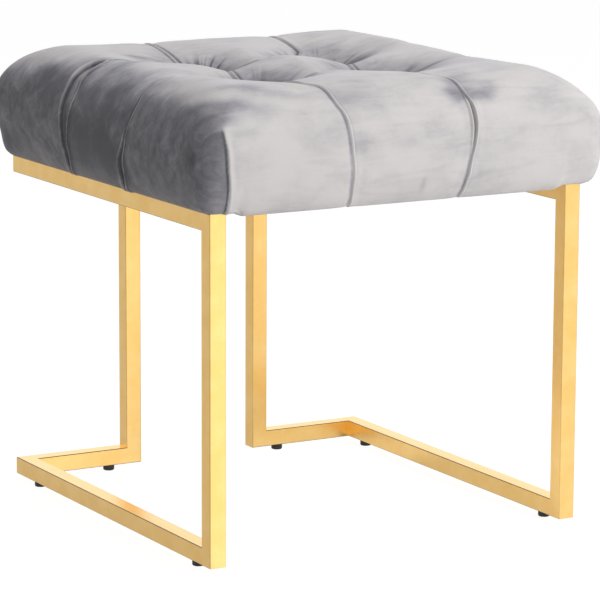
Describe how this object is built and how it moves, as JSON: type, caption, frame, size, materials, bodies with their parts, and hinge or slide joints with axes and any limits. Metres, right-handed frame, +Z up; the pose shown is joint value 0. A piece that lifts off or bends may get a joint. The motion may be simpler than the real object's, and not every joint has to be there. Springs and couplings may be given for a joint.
{
  "type": "upholstered stool",
  "caption": "Upholstered stool: tufted velvet seat on two mirrored square-tube side frames whose floor rails turn inwards at the back, with screw-in levelling feet",
  "frame": {"origin": "middle of the footprint, on the floor that the feet stand on", "axes": "+Z up, +X to the right when facing the front, -Y is the open front where the two front legs stand"},
  "size_m": [0.494, 0.52, 0.504],
  "materials": {
    "gold_tube": "gold-coloured plating on steel tube, polished",
    "velvet": "short-pile grey velvet with a brushed nap",
    "foam": "upholstery foam",
    "plywood": "raw plywood",
    "dust_cloth": "black non-woven cloth",
    "twine": "waxed twine",
    "foot_plastic": "black moulded plastic",
    "zinc_steel": "zinc-plated steel"
  },
  "bodies": {
    "stool": {"left_front_leg": "gold_tube", "left_floor_rail": "gold_tube", "left_rear_floor_rail": "gold_tube", "left_rear_leg": "gold_tube", "left_rear_seat_rail": "gold_tube", "left_seat_rail": "gold_tube", "right_front_leg": "gold_tube", "right_floor_rail": "gold_tube", "right_rear_floor_rail": "gold_tube", "right_rear_leg": "gold_tube", "right_rear_seat_rail": "gold_tube", "right_seat_rail": "gold_tube", "rivet_nuts": "zinc_steel", "seat_screws": "zinc_steel", "screw_washers": "zinc_steel", "anchor_washers": "zinc_steel", "seat_board": "plywood", "foam_pad": "foam", "seat_cover": "velvet", "tuft_buttons": "velvet", "dust_cover": "dust_cloth", "tuft_cords": "twine"},
    "left_front_foot": {"left_front_foot_pad": "foot_plastic", "left_front_foot_stud": "zinc_steel"},
    "left_rear_foot": {"left_rear_foot_pad": "foot_plastic", "left_rear_foot_stud": "zinc_steel"},
    "left_inner_foot": {"left_inner_foot_pad": "foot_plastic", "left_inner_foot_stud": "zinc_steel"},
    "right_front_foot": {"right_front_foot_pad": "foot_plastic", "right_front_foot_stud": "zinc_steel"},
    "right_rear_foot": {"right_rear_foot_pad": "foot_plastic", "right_rear_foot_stud": "zinc_steel"},
    "right_inner_foot": {"right_inner_foot_pad": "foot_plastic", "right_inner_foot_stud": "zinc_steel"}
  },
  "joints": [
    {"name": "left_front_foot_screw", "type": "slide", "parent": "stool", "child": "left_front_foot", "axis": [0, 0, -1], "range_m": [0, 0.008]},
    {"name": "left_rear_foot_screw", "type": "slide", "parent": "stool", "child": "left_rear_foot", "axis": [0, 0, -1], "range_m": [0, 0.008]},
    {"name": "left_inner_foot_screw", "type": "slide", "parent": "stool", "child": "left_inner_foot", "axis": [0, 0, -1], "range_m": [0, 0.008]},
    {"name": "right_front_foot_screw", "type": "slide", "parent": "stool", "child": "right_front_foot", "axis": [0, 0, -1], "range_m": [0, 0.008]},
    {"name": "right_rear_foot_screw", "type": "slide", "parent": "stool", "child": "right_rear_foot", "axis": [0, 0, -1], "range_m": [0, 0.008]},
    {"name": "right_inner_foot_screw", "type": "slide", "parent": "stool", "child": "right_inner_foot", "axis": [0, 0, -1], "range_m": [0, 0.008]}
  ]
}
